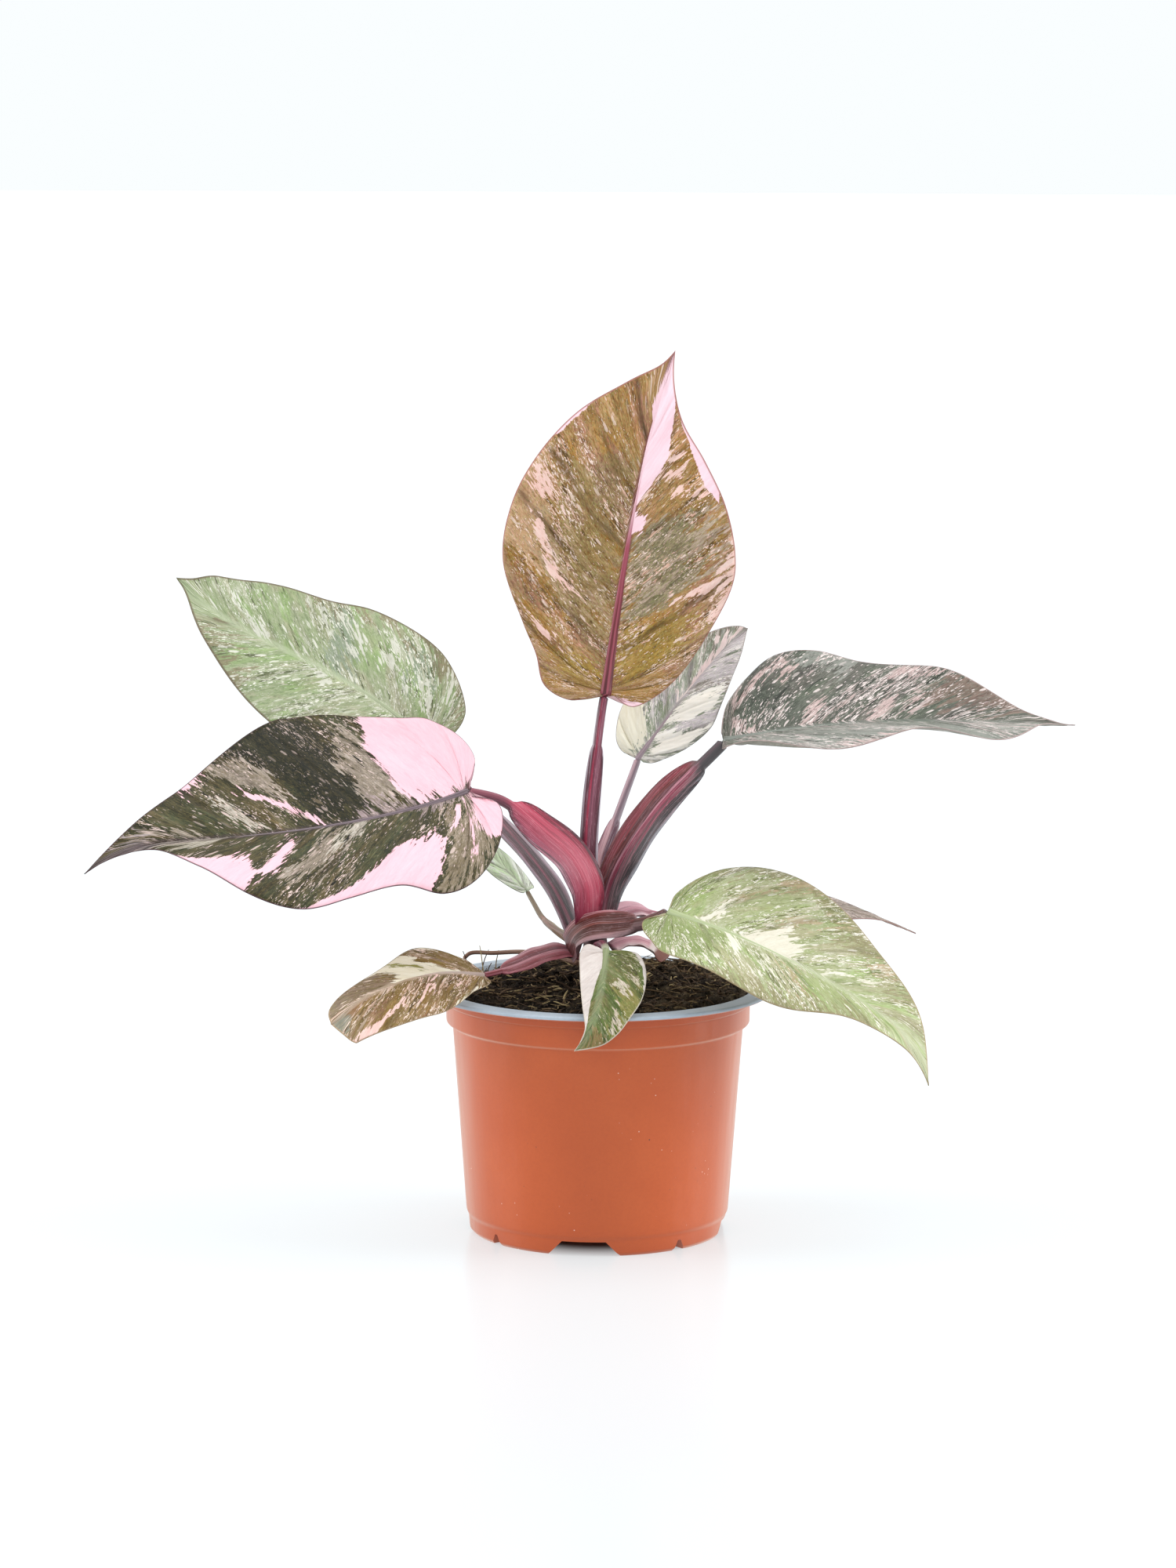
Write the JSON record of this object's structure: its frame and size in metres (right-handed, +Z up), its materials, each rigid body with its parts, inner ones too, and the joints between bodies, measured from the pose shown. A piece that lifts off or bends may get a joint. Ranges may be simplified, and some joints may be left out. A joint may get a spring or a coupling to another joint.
{
  "type": "potted pink princess philodendron",
  "caption": "Young pink princess philodendron with broad pink-variegated leaves on sheathed stalks, rooted in soil in a round terracotta-coloured nursery pot that stands on its base.",
  "frame": {"origin": "centre of the pot's base, on the surface that the pot stands on", "axes": "+Z up; +X to the right seen from the front; +Y away from the front"},
  "size_m": [0.3396, 0.1361, 0.2996],
  "materials": {
    "pot": "thermoformed sheet, terracotta outside and grey-blue inside, semi-matt",
    "soil": "dark peaty potting soil with olive-brown fibres, dull",
    "stem": "dark wine plant skin, satin",
    "stalk_wine": "wine-red stalk with dark lengthwise stripes, satin",
    "stalk_crimson": "crimson sheath with fine lengthwise veins, satin",
    "stalk_blush": "pale pink stalk, satin",
    "stalk_mauve": "grey-lilac stalk with dark stripes, satin",
    "stalk_tan": "golden brown to dry tan stalk, dull",
    "leaf_bronze": "bronze-olive leaf with pink and cream flecks along its veins, satin",
    "leaf_olive": "dark olive leaf with pink sectors and flecks, satin",
    "leaf_slate": "grey-green leaf with pink streaks, satin",
    "leaf_cream": "cream and lilac leaf with green speckles, satin",
    "leaf_sage": "sage-green leaf with cream flecks, satin",
    "leaf_green": "bright green leaf with cream patches, satin",
    "leaf_mauve": "brownish mauve leaf with a grey bloom, satin"
  },
  "bodies": {
    "root": {"pot": "pot", "soil": "soil", "stem": "stem", "petiole_top": "stalk_wine", "blade_top": "leaf_bronze", "petiole_big_left": "stalk_crimson", "blade_big_left": "leaf_olive", "petiole_long_right": "stalk_wine", "blade_long_right": "leaf_slate", "petiole_small_behind": "stalk_blush", "blade_small_behind": "leaf_cream", "petiole_upper_left": "stalk_mauve", "blade_upper_left": "leaf_sage", "petiole_lower_right": "stalk_wine", "blade_lower_right": "leaf_green", "petiole_far_right": "stalk_blush", "blade_far_right": "leaf_mauve", "petiole_lower_left": "stalk_wine", "blade_lower_left": "leaf_bronze", "petiole_front": "stalk_wine", "blade_front": "leaf_sage", "petiole_tiny_back": "stalk_tan", "blade_tiny_back": "leaf_sage", "old_sheath": "stalk_blush", "dry_stalk": "stalk_tan"}
  },
  "joints": []
}
